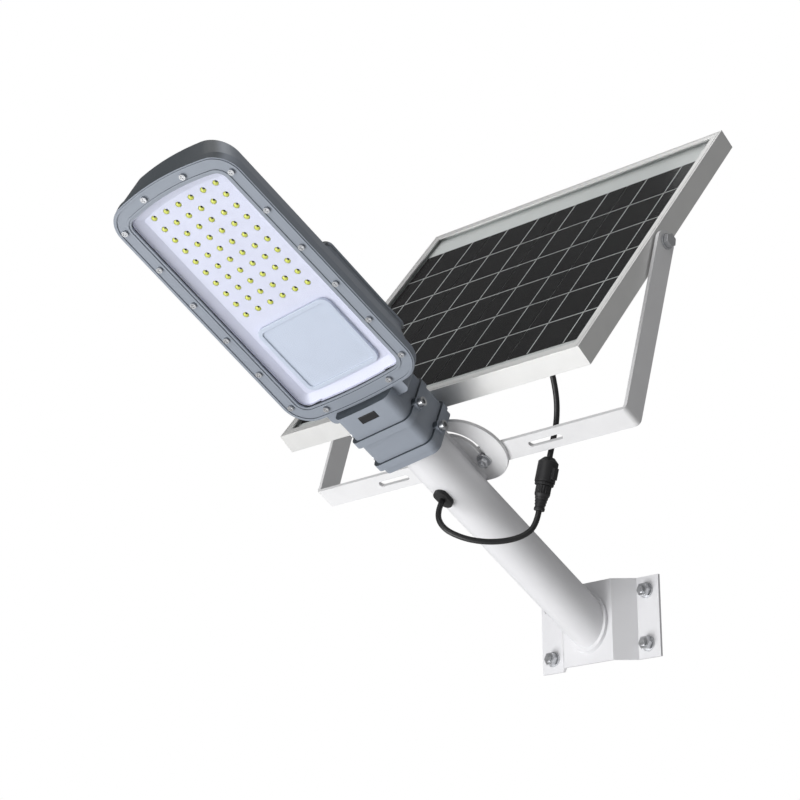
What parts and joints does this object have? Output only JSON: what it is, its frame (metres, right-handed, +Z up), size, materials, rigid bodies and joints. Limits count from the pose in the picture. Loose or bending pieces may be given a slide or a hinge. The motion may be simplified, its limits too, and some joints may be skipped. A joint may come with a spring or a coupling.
{
  "type": "solar street lamp",
  "caption": "Wall-mounted solar street lamp: raked arm tube, flat LED head on a clamped sleeve, and a framed solar panel tilting in a U-shaped yoke.",
  "frame": {"origin": "centre of the four anchor bolts, on the bracket face that lies against the wall", "axes": "+Z up, -Y out from the wall towards the lamp head, +X to the right of someone facing the wall"},
  "size_m": [0.4594, 0.6361, 0.5486],
  "materials": {
    "white_paint": "white powder coat, satin",
    "pale_paint": "pale grey-white powder coat, satin",
    "zinc": "bright zinc plate",
    "bright_insert": "plain aluminium",
    "black_rubber": "matt moulded rubber",
    "lead_jacket": "satin rubber jacket",
    "connector_black": "fine spark texture",
    "frame_aluminium": "silver anodised, satin",
    "panel_glass": "low-iron toughened glass, smooth",
    "cell_black": "dark monocrystalline cells with pale grid lines",
    "back_sheet_white": "white backing film",
    "box_black": "matt moulded plastic",
    "housing_grey": "grey powder coat on die-cast aluminium",
    "clear_cover": "clear polycarbonate sheet",
    "gasket_grey": "soft silicone",
    "steel_screw": "stainless steel",
    "reflector_white": "white moulded reflector",
    "board_white": "white solder mask",
    "led_phosphor": "yellow phosphor in a clear dome",
    "spreader_aluminium": "milled aluminium",
    "recess_white": "bluish-white moulded cover",
    "cell_wrap": "blue heat-shrink wrap",
    "tray_black": "black moulded tray",
    "board_green": "green solder mask",
    "window_black": "dark infrared window"
  },
  "bodies": {
    "arm": {"wall_bracket": "white_paint", "anchor_studs": "zinc", "anchor_washers": "zinc", "anchor_nuts": "zinc", "arm_tube": "white_paint", "bracket_weld": "white_paint", "lead_grommet": "black_rubber", "arc_plate": "pale_paint", "plate_saddle": "white_paint", "inner_lead": "lead_jacket", "lamp_lead": "lead_jacket"},
    "yoke": {"yoke": "pale_paint", "clamp_bolts": "zinc", "clamp_washers": "zinc", "clamp_nuts": "zinc", "connector_plug": "connector_black", "connector_ring": "connector_black", "connector_socket": "connector_black", "panel_lead": "lead_jacket"},
    "panel": {"frame_rail_bottom": "frame_aluminium", "frame_rail_right": "frame_aluminium", "frame_rail_top": "frame_aluminium", "frame_rail_left": "frame_aluminium", "corner_keys": "frame_aluminium", "panel_glass": "panel_glass", "cell_sheet": "cell_black", "back_sheet": "back_sheet_white", "junction_box": "box_black", "junction_lid": "box_black", "junction_gland": "box_black", "pivot_bolts": "zinc", "pivot_washers": "zinc", "pivot_inserts": "bright_insert"},
    "lamp_head": {"housing": "housing_grey", "rim_frame": "housing_grey", "clear_cover": "clear_cover", "rim_gasket": "gasket_grey", "rim_screws": "steel_screw", "reflector_tray": "reflector_white", "led_board": "board_white", "led_chips": "led_phosphor", "heat_spreader": "spreader_aluminium", "recess_cover": "recess_white", "battery_cells": "cell_wrap", "battery_tray": "tray_black", "controller_board": "board_green", "driver_cover": "housing_grey", "cover_seal": "gasket_grey", "cover_screws": "steel_screw", "sleeve_screws": "steel_screw", "top_screw": "steel_screw", "sensor_window": "window_black"}
  },
  "joints": [
    {"name": "yoke_swivel", "type": "hinge", "parent": "arm", "child": "yoke", "pos_m": [0, -0.21911, 0.1543], "axis": [0, 0.515, 0.8572], "range_deg": [-15, 15], "deforming": ["lamp_lead"]},
    {"name": "panel_tilt", "type": "hinge", "parent": "yoke", "child": "panel", "pos_m": [0, -0.1407, 0.34518], "axis": [1, 0, 0], "range_deg": [-2.5, 38], "deforming": ["panel_lead"]},
    {"name": "head_roll", "type": "hinge", "parent": "arm", "child": "lamp_head", "pos_m": [0, -0.30536, 0.16996], "axis": [0, -0.8572, 0.515], "range_deg": [-12, 12]}
  ]
}
